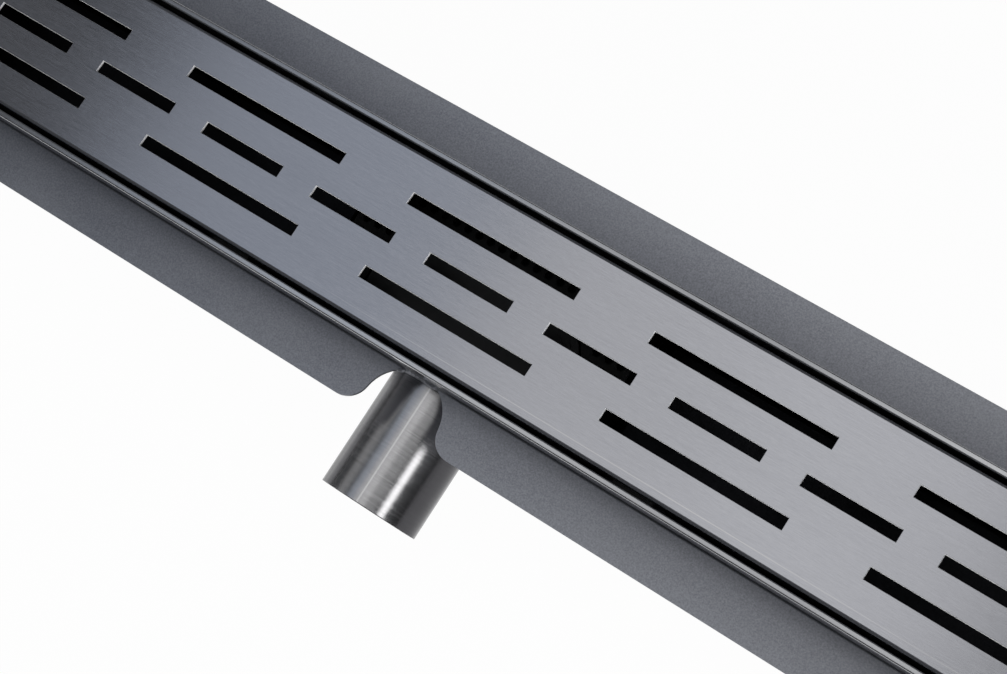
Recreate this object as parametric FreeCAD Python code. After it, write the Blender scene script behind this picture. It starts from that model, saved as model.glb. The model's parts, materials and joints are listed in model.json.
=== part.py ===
import FreeCAD, Part
import math
import os

from FreeCAD import Vector

# A linear floor drain (channel drain) in folded stainless sheet, with a slotted
# cover, a lift-out water trap, a side outlet and four levelling feet.
# Units are millimetres.  X runs along the channel, the outlet points to -Y and
# Z is up.  The origin lies on the floor under the middle of the channel.

# ---------------------------------------------------------------- driving sizes
# channel body
SHEET = 1.5                 # sheet of the channel, the sump and the cover
FOLD_RADIUS = 1.0           # inside radius of a fold in that sheet
STAND_HEIGHT = 92.0         # rim above the floor with the feet at rest
RIM_LENGTH = 650.0          # over the outside of the folded rim
RIM_WIDTH = 90.0
FLANGE_WIDTH = 25.4         # tiling flange, from the rim outwards
FLANGE_DROP = 17.4          # rim top down to the flange
SEAM_OPENING = 0.4          # mouth of the crevice under the hemmed rim
SEAM_CLOSE = 0.95           # where that crevice closes, as a share of the fold's back
TROUGH_DEPTH = 45.0         # rim top down to the trough's floor
TROUGH_WALL_DEPTH = 30.0    # rim top down to the upper crease
TROUGH_FLOOR_WIDTH = 55.0   # between the lower creases

# sump under the middle of the trough
SUMP_LENGTH = 170.0
SUMP_DEPTH = 84.0           # rim top down to the sump's underside
SUMP_SEAM_DEPTH = 24.0      # rim top down to the welded seam in the long walls
SUMP_FOLD_RADIUS = 3.0

# outlet
PIPE_DIAMETER = 50.0
PIPE_WALL = 1.5
PIPE_DROP = 53.9            # rim top down to the pipe's axis
PIPE_PROJECTION = 61.0      # rim's outer face to the pipe's open end
PIPE_FIT = 0.05             # radial gap in the sump wall before welding
PIPE_WELD = 1.5             # leg of the fillet weld round the pipe's root
NOTCH_RADIUS = 19.8         # bay cut in the flange over the pipe
NOTCH_LIP_RADIUS = 11.0     # rounding from the bay into the flange's edge

# cover
COVER_GAP = 2.0             # between the cover and the rim, all round
COVER_SKIRT = 15.0          # height of the turned-down edge
COVER_EDGE_RADIUS = 2.0     # outside radius of the turned-down edge
SLOT_WIDTH = 6.0
LONG_SLOT_LENGTH = 90.0     # in the two outer rows
SHORT_SLOT_LENGTH = 45.0    # in the middle row, at half the long pitch
SLOT_PITCH = 128.0
SLOT_ROW_SPACING = 19.6
SLOT_END_LAND = 12.0        # least plain sheet past the last slot

# ledges and rubber buffers that carry the cover
LEDGE_LENGTH = 30.0
LEDGE_REACH = 9.0
LEDGE_LEG = 11.0
LEDGE_SUMP_GAP = 10.0       # inner ledges, from the sump's end
LEDGE_END_GAP = 27.0        # outer ledges, from the channel's end wall
BUFFER_WALL = 1.2
BUFFER_FLOOR = 1.5
BUFFER_HEIGHT = 6.0
BUFFER_LENGTH = 20.0

# trap
TRAP_CAP_DEPTH = 29.0       # rim top down to the top of the trap's cap
CAP_LENGTH = 108.0
CAP_WIDTH = 52.0
CAP_CORNER = 24.0
CAP_WALL_GAP = 4.0          # cap's edge to the wall on the outlet's side
CAP_RIM = 2.0               # thickness of the cap's outer rim
CAP_STEP = 3.5              # width of each of the cap's two steps
CAP_STEP_RISE = 1.0
LUG_LENGTH = 24.0           # lugs under the cap's long sides, to centre it
LUG_END_LENGTH = 5.0        # the same under its ends
LUG_THICKNESS = 2.0
LUG_DEPTH = 3.0
LUG_GAP = 0.3
HOUSING_INSET = 3.0         # cap's edge out past the housing's wall
HOUSING_WALL = 2.5
HOUSING_FOOT = 2.5
HOUSING_FOOT_SIZE = 9.0
WEIR_TOP_DEPTH = 47.0       # rim top down to the top of the weir
WEIR_OFFSET = 20.0          # inner face of the outlet wall to the weir
WINDOW_LENGTH = 70.0
WINDOW_HEIGHT = 9.0
CAP_SEAL = 1.6              # rubber ring under the cap's rim
SPIGOT_RADIUS = 19.0
SPIGOT_WALL = 2.0
SPIGOT_LENGTH = 28.0        # from the housing's wall into the pipe
SEAL_WIDTH = 12.0
SEAL_LIP_GAP = 0.05         # sleeve to the pipe's bore

# strainer plate round the trap
STRAINER_END_GAP = 8.0      # plate to the sump's end plates
STRAINER_SIDE_GAP = 2.0     # plate to the sump's long walls
STRAINER_SHEET = 2.0
STRAINER_CORNER = 4.0
STRAINER_CAP_GAP = 1.0
STRAINER_RIM = 5.0
STRAINER_SKIRT = 1.8
HOLE_SIZE = 3.7             # across the flats of each hole
HOLE_PITCH = 6.4
LEG_SIZE = 7.0

# levelling feet
FOOT_END_GAP = 75.0         # rim's end to the foot's axis
FOOT_OFFSET = 11.0          # trough wall out to the foot's axis
BRACKET_SHEET = 2.0
BRACKET_WIDTH = 30.0
BRACKET_TAB_DEPTH = 60.0    # rim top down to the top of the bracket's tab
BRACKET_TAB_REACH = 24.0
BRACKET_FLANGE_GAP = 1.0
BRACKET_HOLE_GAP = 0.1
ROD_DIAMETER = 8.0
ROD_TOP_DEPTH = 28.0        # rim top down to the rod's upper end
ROD_IN_PAD = 7.0
PUSH_FIT = 0.02             # radial gap of a push fit: rod in pad, sleeve on spigot
NUT_ACROSS_FLATS = 13.0
NUT_HEIGHT = 6.5
NUT_GAP = 0.05
PAD_FLATS = 20.0            # across the flats of the pad and of its neck
PAD_NECK_FLATS = 13.0
PAD_RIM = 3.0
PAD_HEIGHT = 10.0

# ---------------------------------------------------------------- derived sizes
TOP = STAND_HEIGHT
RIM_THICKNESS = 2.0 * SHEET                 # the hem is two sheets, closed
RIM_OUTER_Y = RIM_WIDTH / 2.0
RIM_INNER_Y = RIM_OUTER_Y - RIM_THICKNESS
WALL_OUTER_Y = RIM_OUTER_Y - SHEET
FLANGE_Y = RIM_OUTER_Y + FLANGE_WIDTH
END_SHIFT = RIM_LENGTH / 2.0 - RIM_OUTER_Y  # the ends repeat the side's section
FLANGE_Z = TOP - FLANGE_DROP
FLOOR_Z = TOP - TROUGH_DEPTH
CREASE_Z = TOP - TROUGH_WALL_DEPTH
SEAM_Z = TOP - SUMP_SEAM_DEPTH
SUMP_Z = TOP - SUMP_DEPTH
SUMP_FLOOR_Z = SUMP_Z + SHEET
SUMP_OUTER_X = SUMP_LENGTH / 2.0
SUMP_INNER_X = SUMP_OUTER_X - SHEET
PIPE_Z = TOP - PIPE_DROP
PIPE_RADIUS = PIPE_DIAMETER / 2.0
PIPE_BORE_RADIUS = PIPE_RADIUS - PIPE_WALL
COVER_LENGTH = RIM_LENGTH - 2.0 * (RIM_THICKNESS + COVER_GAP)
COVER_WIDTH = RIM_WIDTH - 2.0 * (RIM_THICKNESS + COVER_GAP)
COVER_BOTTOM_Z = TOP - COVER_SKIRT
LEDGE_Z = COVER_BOTTOM_Z - BUFFER_FLOOR
CAP_TOP_Z = TOP - TRAP_CAP_DEPTH
CAP_RIM_Z = CAP_TOP_Z - 2.0 * CAP_STEP_RISE - CAP_RIM
HOUSING_TOP_Z = CAP_RIM_Z - CAP_SEAL
HOUSING_BOTTOM_Z = SUMP_FLOOR_Z + HOUSING_FOOT
STRAINER_TOP_Z = CAP_RIM_Z + CAP_RIM
FOOT_Y = WALL_OUTER_Y + FOOT_OFFSET
TAB_TOP_Z = TOP - BRACKET_TAB_DEPTH
TAB_BOTTOM_Z = TAB_TOP_Z - BRACKET_SHEET
ROD_TOP_Z = TOP - ROD_TOP_DEPTH
ROD_BOTTOM_Z = PAD_HEIGHT - ROD_IN_PAD
LONG_SLOTS = 1 + int((COVER_LENGTH - 2.0 * SLOT_END_LAND - LONG_SLOT_LENGTH) // SLOT_PITCH)
SHORT_SLOTS = 2 * LONG_SLOTS - 1
INNER_LEDGE_X = SUMP_OUTER_X + LEDGE_SUMP_GAP + LEDGE_LENGTH / 2.0
OUTER_LEDGE_X = RIM_LENGTH / 2.0 - RIM_THICKNESS - LEDGE_END_GAP - LEDGE_LENGTH / 2.0
PIPE_END_Y = -RIM_OUTER_Y - PIPE_PROJECTION
CAP_MIDDLE_Y = CAP_WIDTH / 2.0 + CAP_WALL_GAP - RIM_INNER_Y
FOOT_X = RIM_LENGTH / 2.0 - FOOT_END_GAP
PAST = 10.0                                 # how far a cutter runs past a face
HAIR = 0.01                                 # smallest length that counts
BORE_SIDES = 12                             # flats of a small hole hidden by its bar

SIDES = (("near", -1.0), ("far", 1.0))
ENDS = (("left", -1.0), ("right", 1.0))


# ---------------------------------------------------------------- drawing tools
def rounded_wire(points, radii):
    """Closed wire through points, with a tangent arc of its own radius at each."""
    count = len(points)
    starts = []
    middles = []
    ends = []
    for index in range(count):
        corner = points[index]
        before = (points[index - 1] - corner).normalize()
        after = (points[(index + 1) % count] - corner).normalize()
        radius = radii[index]
        if radius <= 0.0:
            starts.append(corner)
            middles.append(None)
            ends.append(corner)
            continue
        half = before.getAngle(after) / 2.0
        reach = radius / math.tan(half)
        bisector = (before + after).normalize()
        centre = corner + bisector * (radius / math.sin(half))
        starts.append(corner + before * reach)
        middles.append(centre - bisector * radius)
        ends.append(corner + after * reach)
    edges = []
    for index in range(count):
        following = (index + 1) % count
        if middles[index] is not None:
            edges.append(Part.Arc(starts[index], middles[index], ends[index]).toShape())
        if (ends[index] - starts[following]).Length > HAIR / PAST:
            edges.append(Part.LineSegment(ends[index], starts[following]).toShape())
    return Part.Wire(Part.__sortEdges__(edges))


def extruded(points, radii, direction):
    """Solid made by pushing the rounded outline of points along direction."""
    return Part.Face(rounded_wire(points, radii)).extrude(direction)


def box(x0, x1, y0, y1, z0, z1):
    """Plain block between two corners."""
    return Part.makeBox(x1 - x0, y1 - y0, z1 - z0, Vector(x0, y0, z0))


def offset_line(points, distance):
    """Open line of (u, z) points moved sideways by distance, with mitred corners."""
    moved = []
    last = len(points) - 1
    for index, (u, z) in enumerate(points):
        normals = []
        for first, second in ((index - 1, index), (index, index + 1)):
            if first < 0 or second > last:
                continue
            run = points[second][0] - points[first][0]
            rise = points[second][1] - points[first][1]
            length = math.hypot(run, rise)
            normals.append((-rise / length, run / length))
        side = sum(n[0] for n in normals) / len(normals)
        lift = sum(n[1] for n in normals) / len(normals)
        scale = distance / (side * side + lift * lift)
        moved.append((u + side * scale, z + lift * scale))
    return moved


def rounded_plate(x_size, y_size, corner, z0, z1, middle_y=0.0):
    """Flat plate with rounded corners, centred on x = 0 and y = middle_y."""
    x = x_size / 2.0
    y = y_size / 2.0
    points = [
        Vector(-x, middle_y - y, z0),
        Vector(x, middle_y - y, z0),
        Vector(x, middle_y + y, z0),
        Vector(-x, middle_y + y, z0),
    ]
    limit = min(corner, x - HAIR, y - HAIR)
    return extruded(points, [limit] * 4, Vector(0, 0, z1 - z0))


def polygon(x, y, z, across_flats, sides=6):
    """Corners of a regular polygon lying flat, closed."""
    corner = across_flats / 2.0 / math.cos(math.pi / sides)
    points = []
    for index in range(sides + 1):
        angle = 2.0 * math.pi * index / sides
        points.append(Vector(x + corner * math.cos(angle), y + corner * math.sin(angle), z))
    return points


def prism(x, y, z0, z1, across_flats, sides=6):
    """Upright prism on a regular polygon."""
    outline = Part.makePolygon(polygon(x, y, z0, across_flats, sides))
    return Part.Face(outline).extrude(Vector(0, 0, z1 - z0))


def hexagon_taper(x, y, lower, upper):
    """Six-sided taper between two (z, across flats) levels, with flat sides."""
    low = polygon(x, y, lower[0], lower[1])
    high = polygon(x, y, upper[0], upper[1])
    rings = [low, high]
    for first, second, above, over in zip(low, low[1:], high[1:], high):
        rings.append([first, second, above, over, first])
    faces = [Part.Face(Part.makePolygon(ring)) for ring in rings]
    return Part.Solid(Part.Shell(faces))


def cylinder_y(radius, y0, y1):
    """Round bar on the outlet's axis, between two places along Y."""
    return Part.makeCylinder(radius, y1 - y0, Vector(0, y0, PIPE_Z), Vector(0, 1, 0))


def turned_about_outlet(outline):
    """Solid turned from (radius, y) points about the outlet's axis."""
    face = Part.Face(Part.makePolygon(outline + outline[:1]))
    solid = face.revolve(Vector(0, 0, 0), Vector(0, 1, 0), 360)
    solid.translate(Vector(0, 0, PIPE_Z))
    return solid


# ---------------------------------------------------------------- folded sections
def rim_outline():
    """Flange and hemmed rim, as (u, z, radius) from the flange over to the inner wall."""
    return [
        (FLANGE_Y, FLANGE_Z, 0.0),
        (RIM_OUTER_Y, FLANGE_Z, FOLD_RADIUS),
        (RIM_OUTER_Y, TOP, SHEET),
        (RIM_INNER_Y, TOP, SHEET),
    ]


def flange_underside():
    """Underside of the flange, from the crevice behind the hem out to the edge."""
    back_radius = FOLD_RADIUS + SHEET
    return [
        (WALL_OUTER_Y, FLANGE_Z - SHEET + SEAM_CLOSE * back_radius, 0.0),
        (WALL_OUTER_Y + SEAM_OPENING, FLANGE_Z - SHEET, back_radius),
        (FLANGE_Y, FLANGE_Z - SHEET, 0.0),
    ]


def trough_inside():
    """Inner face of the trough below the rim, on one side, as (u, z)."""
    return [
        (RIM_INNER_Y, TOP),
        (RIM_INNER_Y, CREASE_Z),
        (TROUGH_FLOOR_WIDTH / 2.0, FLOOR_Z),
        (0.0, FLOOR_Z),
    ]


def trough_outside():
    """Outer face of the trough: the inner face moved out by the sheet."""
    return offset_line(trough_inside(), SHEET)


def mirrored(outline):
    """The same outline on the other side, run in the opposite direction."""
    return [(-row[0],) + tuple(row[1:]) for row in reversed(outline)]


def channel_section():
    """Whole section of the channel as points and radii."""
    inside = [(u, z, FOLD_RADIUS) for u, z in trough_inside()[1:-1]]
    outside = [(u, z, FOLD_RADIUS + SHEET) for u, z in trough_outside()[1:-1]]
    upper = rim_outline() + inside
    lower = list(reversed(outside)) + flange_underside()
    ring = upper + mirrored(upper) + mirrored(lower) + lower
    return ring


def trough_block(x0, x1):
    """Everything inside the trough's outer face, filled, from the crease down."""
    outside = [(u, z, FOLD_RADIUS + SHEET) for u, z in trough_outside()[1:-1]]
    top = [(WALL_OUTER_Y, FLANGE_Z - SHEET, 0.0)]
    ring = top + outside + mirrored(top + outside)
    points = [Vector(x0, u, z) for u, z, _ in ring]
    return extruded(points, [row[2] for row in ring], Vector(x1 - x0, 0, 0))


def plan_prism(points):
    """Tall block with the given plan, used to mitre the corners."""
    base = [Vector(x, y, SUMP_Z - PAST) for x, y in points]
    return extruded(base, [0.0] * len(base), Vector(0, 0, TOP - SUMP_Z + 2.0 * PAST))


def notch_cutter():
    """Bay in the flange over the outlet: one arc, with a rounded lip each side."""
    centre_y = -(WALL_OUTER_Y + NOTCH_RADIUS)
    lip_y = -FLANGE_Y + NOTCH_LIP_RADIUS
    lip_x = math.sqrt((NOTCH_RADIUS + NOTCH_LIP_RADIUS) ** 2 - (lip_y - centre_y) ** 2)
    share = NOTCH_RADIUS / (NOTCH_RADIUS + NOTCH_LIP_RADIUS)
    touch = Vector(lip_x * share, centre_y + (lip_y - centre_y) * share, 0)
    edge = Vector(lip_x, -FLANGE_Y, 0)
    lip_centre = Vector(lip_x, lip_y, 0)
    lip_middle = (touch - lip_centre) + (edge - lip_centre)
    lip_middle = lip_centre + lip_middle.normalize() * NOTCH_LIP_RADIUS
    crown = Vector(0, centre_y + NOTCH_RADIUS, 0)
    corner = Vector(edge.x, -FLANGE_Y - PAST, 0)
    lip = Part.Arc(edge, lip_middle, touch).toShape()
    side = Part.LineSegment(corner, edge).toShape()
    middle = Vector(0, 0, 0)
    across = Vector(1, 0, 0)
    edges = [
        lip,
        side,
        Part.Arc(touch, crown, Vector(-touch.x, touch.y, 0)).toShape(),
        Part.LineSegment(Vector(-corner.x, corner.y, 0), corner).toShape(),
        lip.mirror(middle, across),
        side.mirror(middle, across),
    ]
    face = Part.Face(Part.Wire(Part.__sortEdges__(edges)))
    face.translate(Vector(0, 0, FLANGE_Z - SHEET - PAST))
    return face.extrude(Vector(0, 0, SHEET + PAST + FOLD_RADIUS))


def make_channel_body():
    """Long folded sheet: flange, hemmed rim, trough, hem and flange again."""
    ring = channel_section()
    half = FLANGE_Y + END_SHIFT
    points = [Vector(-half, u, z) for u, z, _ in ring]
    body = extruded(points, [row[2] for row in ring], Vector(2.0 * half, 0, 0))
    inner = RIM_INNER_Y
    plan = [
        (inner + END_SHIFT, -inner),
        (inner + END_SHIFT, inner),
        (half, FLANGE_Y),
        (-half, FLANGE_Y),
        (-inner - END_SHIFT, inner),
        (-inner - END_SHIFT, -inner),
        (-half, -FLANGE_Y),
        (half, -FLANGE_Y),
    ]
    body = body.common(plan_prism(plan))
    opening = box(
        -SUMP_INNER_X, SUMP_INNER_X, -RIM_OUTER_Y, RIM_OUTER_Y, SUMP_Z - PAST, SEAM_Z
    )
    return body.cut(opening).cut(notch_cutter())


def make_end_cap(side):
    """Folded end: the same flange and rim, with a plate that closes the trough."""
    wall = [(RIM_INNER_Y, CREASE_Z, 0.0), (WALL_OUTER_Y, CREASE_Z, 0.0)]
    ring = rim_outline() + wall + flange_underside()
    points = [Vector(u + END_SHIFT, -FLANGE_Y, z) for u, z, _ in ring]
    cap = extruded(points, [row[2] for row in ring], Vector(0, 2.0 * FLANGE_Y, 0))
    plate = trough_block(RIM_INNER_Y + END_SHIFT, WALL_OUTER_Y + END_SHIFT)
    plate = plate.cut(box(0, RIM_LENGTH, -RIM_WIDTH, RIM_WIDTH, CREASE_Z, TOP))
    cap = cap.fuse(plate).removeSplitter()
    far = FLANGE_Y + PAST
    near = TROUGH_FLOOR_WIDTH / 2.0
    mitre = [
        (near + END_SHIFT, -near),
        (far + END_SHIFT, -far),
        (far + END_SHIFT, far),
        (near + END_SHIFT, near),
    ]
    cap = cap.common(plan_prism(mitre))
    return cap if side > 0 else cap.mirror(Vector(0, 0, 0), Vector(1, 0, 0))


# ---------------------------------------------------------------- sump and outlet
def sump_section(inset):
    """U section of the sump, filled, with the sheet's thickness taken off or not."""
    y = WALL_OUTER_Y - inset
    z = SUMP_Z + inset
    radius = SUMP_FOLD_RADIUS + SHEET - inset
    points = [(-y, SEAM_Z), (-y, z), (y, z), (y, SEAM_Z)]
    return points, [0.0, radius, radius, 0.0]


def sump_block(x0, x1, inset):
    """The sump's section pushed along X."""
    outline, radii = sump_section(inset)
    points = [Vector(x0, y, z) for y, z in outline]
    return extruded(points, radii, Vector(x1 - x0, 0, 0))


def make_sump_box():
    """Long walls and floor of the sump, folded from one sheet, with the pipe's hole."""
    outer = sump_block(-SUMP_INNER_X, SUMP_INNER_X, 0.0)
    inner = sump_block(-SUMP_INNER_X, SUMP_INNER_X, SHEET)
    hole = cylinder_y(PIPE_RADIUS + PIPE_FIT, -RIM_WIDTH, 0.0)
    return outer.cut(inner).cut(hole)


def make_sump_end(side):
    """Plate that closes one end of the sump, cut to the trough's underside."""
    plate = sump_block(SUMP_INNER_X, SUMP_OUTER_X, 0.0)
    plate = plate.cut(trough_block(0.0, SUMP_LENGTH))
    return plate if side > 0 else plate.mirror(Vector(0, 0, 0), Vector(1, 0, 0))


def make_outlet_pipe():
    """Straight outlet pipe with its weld: one outline turned about the pipe's axis."""
    outline = [
        Vector(PIPE_BORE_RADIUS, PIPE_END_Y, 0),
        Vector(PIPE_RADIUS, PIPE_END_Y, 0),
        Vector(PIPE_RADIUS, -WALL_OUTER_Y - PIPE_WELD, 0),
        Vector(PIPE_RADIUS + PIPE_WELD, -WALL_OUTER_Y, 0),
        Vector(PIPE_RADIUS, -WALL_OUTER_Y, 0),
        Vector(PIPE_RADIUS, -RIM_INNER_Y, 0),
        Vector(PIPE_BORE_RADIUS, -RIM_INNER_Y, 0),
    ]
    return turned_about_outlet(outline)


# ---------------------------------------------------------------- cover
def slot_centres():
    """Every slot as (x, y, length)."""
    slots = []
    for row in (-1.0, 1.0):
        for index in range(LONG_SLOTS):
            x = (index - (LONG_SLOTS - 1) / 2.0) * SLOT_PITCH
            slots.append((x, row * SLOT_ROW_SPACING, LONG_SLOT_LENGTH))
    for index in range(SHORT_SLOTS):
        x = (index - (SHORT_SLOTS - 1) / 2.0) * SLOT_PITCH / 2.0
        slots.append((x, 0.0, SHORT_SLOT_LENGTH))
    return slots


def lid_section(half, inset):
    """Across the cover: a block with rounded upper corners, as points and radii."""
    reach = half - inset
    low = COVER_BOTTOM_Z
    high = TOP - inset
    radius = COVER_EDGE_RADIUS - inset
    return [(-reach, low), (reach, low), (reach, high), (-reach, high)], [0.0, 0.0, radius, radius]


def folded_lid(inset):
    """Filled lid: the rounded section along X, mitred by the same section along Y."""
    along_half = COVER_LENGTH / 2.0
    across_half = COVER_WIDTH / 2.0
    outline, radii = lid_section(across_half, inset)
    points = [Vector(-along_half, y, z) for y, z in outline]
    along = extruded(points, radii, Vector(COVER_LENGTH, 0, 0))
    outline, radii = lid_section(along_half, inset)
    points = [Vector(x, -across_half, z) for x, z in outline]
    return along.common(extruded(points, radii, Vector(0, COVER_WIDTH, 0)))


def make_cover():
    """Cover: a slotted sheet with all four edges turned down."""
    cover = folded_lid(0.0).cut(folded_lid(SHEET))
    cutters = []
    for x, y, length in slot_centres():
        half = length / 2.0
        wide = SLOT_WIDTH / 2.0
        cutters.append(box(x - half, x + half, y - wide, y + wide, TOP - PAST, TOP + PAST))
    return cover.cut(Part.makeCompound(cutters))


def make_ledge(x, side):
    """Bent tab spot-welded inside the trough's wall, to carry the cover."""
    foot_z = LEDGE_Z - SHEET - LEDGE_LEG
    wall = RIM_INNER_Y
    outline = [
        (wall, LEDGE_Z, FOLD_RADIUS + SHEET),
        (wall, foot_z, 0.0),
        (wall - SHEET, foot_z, 0.0),
        (wall - SHEET, LEDGE_Z - SHEET, FOLD_RADIUS),
        (wall - LEDGE_REACH, LEDGE_Z - SHEET, 0.0),
        (wall - LEDGE_REACH, LEDGE_Z, 0.0),
    ]
    start = x - LEDGE_LENGTH / 2.0
    points = [Vector(start, side * u, z) for u, z, _ in outline]
    return extruded(points, [row[2] for row in outline], Vector(LEDGE_LENGTH, 0, 0))


def make_buffer(x, side):
    """Rubber clip pushed on to the cover's lower edge over a ledge."""
    middle = COVER_WIDTH / 2.0 - SHEET / 2.0
    half = SHEET / 2.0 + BUFFER_WALL
    start = x - BUFFER_LENGTH / 2.0
    low = min(side * (middle - half), side * (middle + half))
    clip = box(
        start, start + BUFFER_LENGTH, low, low + 2.0 * half, LEDGE_Z, LEDGE_Z + BUFFER_HEIGHT
    )
    groove_low = min(side * (middle - SHEET / 2.0), side * (middle + SHEET / 2.0))
    groove = box(
        start - PAST,
        start + BUFFER_LENGTH + PAST,
        groove_low,
        groove_low + SHEET,
        COVER_BOTTOM_Z,
        TOP,
    )
    return clip.cut(groove)


# ---------------------------------------------------------------- trap
def cap_plate(inset, z0, z1):
    """Rounded plate of the cap's plan, smaller by inset all round."""
    x_size = CAP_LENGTH - 2.0 * inset
    y_size = CAP_WIDTH - 2.0 * inset
    return rounded_plate(x_size, y_size, CAP_CORNER - inset, z0, z1, CAP_MIDDLE_Y)


def housing_near_y():
    """Outer face of the housing's wall on the outlet's side."""
    return CAP_MIDDLE_Y - CAP_WIDTH / 2.0 + HOUSING_INSET


def make_trap_cap():
    """Lid of the trap: a rim, two steps and four lugs that centre it in the housing."""
    rim_top = CAP_RIM_Z + CAP_RIM
    rim = cap_plate(0.0, CAP_RIM_Z, rim_top)
    first = cap_plate(CAP_STEP, rim_top, rim_top + CAP_STEP_RISE)
    second = cap_plate(2.0 * CAP_STEP, rim_top + CAP_STEP_RISE, CAP_TOP_Z)
    out_x = CAP_LENGTH / 2.0 - HOUSING_INSET - HOUSING_WALL - LUG_GAP
    out_y = CAP_WIDTH / 2.0 - HOUSING_INSET - HOUSING_WALL - LUG_GAP
    low = HOUSING_TOP_Z - LUG_DEPTH
    half = LUG_LENGTH / 2.0
    end_half = LUG_END_LENGTH / 2.0
    end_y0 = CAP_MIDDLE_Y - end_half
    end_y1 = CAP_MIDDLE_Y + end_half
    lugs = []
    for side in (-1.0, 1.0):
        x0, x1 = sorted((side * out_x, side * (out_x - LUG_THICKNESS)))
        y0, y1 = sorted((side * out_y, side * (out_y - LUG_THICKNESS)))
        lugs.append(box(x0, x1, end_y0, end_y1, low, CAP_RIM_Z))
        lugs.append(box(-half, half, CAP_MIDDLE_Y + y0, CAP_MIDDLE_Y + y1, low, CAP_RIM_Z))
    return rim.fuse([first, second] + lugs).removeSplitter()


def make_cap_seal():
    """Flat rubber ring between the cap's rim and the top of the housing."""
    outer = cap_plate(HOUSING_INSET, HOUSING_TOP_Z, CAP_RIM_Z)
    inner = cap_plate(HOUSING_INSET + HOUSING_WALL, HOUSING_TOP_Z - PAST, TOP)
    return outer.cut(inner)


def make_trap_housing():
    """Trap body: an open box with a low inlet window, a weir and a round outlet."""
    floor_z = HOUSING_BOTTOM_Z + HOUSING_WALL
    outer = cap_plate(HOUSING_INSET, HOUSING_BOTTOM_Z, HOUSING_TOP_Z)
    room = cap_plate(HOUSING_INSET + HOUSING_WALL, floor_z, TOP)
    near_y = housing_near_y()
    far_y = CAP_MIDDLE_Y + CAP_WIDTH / 2.0 - HOUSING_INSET
    weir_y = near_y + HOUSING_WALL + WEIR_OFFSET
    weir = box(
        -CAP_LENGTH, CAP_LENGTH, weir_y, weir_y + HOUSING_WALL, floor_z, TOP - WEIR_TOP_DEPTH
    )
    weir = weir.common(room)
    window = box(
        -WINDOW_LENGTH / 2.0,
        WINDOW_LENGTH / 2.0,
        far_y - 2.0 * HOUSING_WALL,
        far_y + PAST,
        floor_z,
        floor_z + WINDOW_HEIGHT,
    )
    hole = cylinder_y(SPIGOT_RADIUS + PUSH_FIT, near_y - PAST, weir_y)
    housing = outer.cut(room).fuse(weir).cut(window).cut(hole)
    foot_x = CAP_LENGTH / 2.0 - CAP_CORNER
    foot_y = CAP_WIDTH / 2.0 - HOUSING_INSET - HOUSING_FOOT_SIZE
    half = HOUSING_FOOT_SIZE / 2.0
    feet = []
    for x in (-foot_x, foot_x):
        for y in (CAP_MIDDLE_Y - foot_y, CAP_MIDDLE_Y + foot_y):
            feet.append(box(x - half, x + half, y - half, y + half, SUMP_FLOOR_Z, HOUSING_BOTTOM_Z))
    return housing.fuse(feet).removeSplitter()


def make_trap_spigot():
    """Short tube pushed through the housing's wall, which leads into the pipe."""
    near_y = housing_near_y()
    inner_y = near_y + HOUSING_WALL
    tube = cylinder_y(SPIGOT_RADIUS, near_y - SPIGOT_LENGTH, inner_y)
    bore_radius = SPIGOT_RADIUS - SPIGOT_WALL
    return tube.cut(cylinder_y(bore_radius, near_y - SPIGOT_LENGTH - PAST, inner_y + PAST))


def make_outlet_seal():
    """Rubber sleeve on the spigot that fills the gap to the pipe's bore."""
    end_y = housing_near_y() - SPIGOT_LENGTH
    tip = PIPE_BORE_RADIUS - SEAL_LIP_GAP
    bore = SPIGOT_RADIUS + PUSH_FIT
    outline = [
        Vector(bore, end_y, 0),
        Vector(tip, end_y, 0),
        Vector(tip, end_y + SEAL_WIDTH, 0),
        Vector(bore, end_y + SEAL_WIDTH, 0),
    ]
    return turned_about_outlet(outline)


def strainer_holes(edge_x, edge_y, clear):
    """Six-sided holes on a square pitch, kept off the plate's edges and off the cap."""
    holes = []
    columns = int((edge_x - STRAINER_RIM) // HOLE_PITCH)
    rows = int((edge_y - STRAINER_RIM) // HOLE_PITCH)
    for column in range(-columns, columns + 1):
        for row in range(-rows, rows + 1):
            x = column * HOLE_PITCH
            y = row * HOLE_PITCH
            if clear.isInside(Vector(x, y, STRAINER_TOP_Z), HAIR, True):
                continue
            low = STRAINER_TOP_Z - STRAINER_SHEET - PAST
            holes.append(prism(x, y, low, STRAINER_TOP_Z + PAST, HOLE_SIZE))
    return holes


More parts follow.
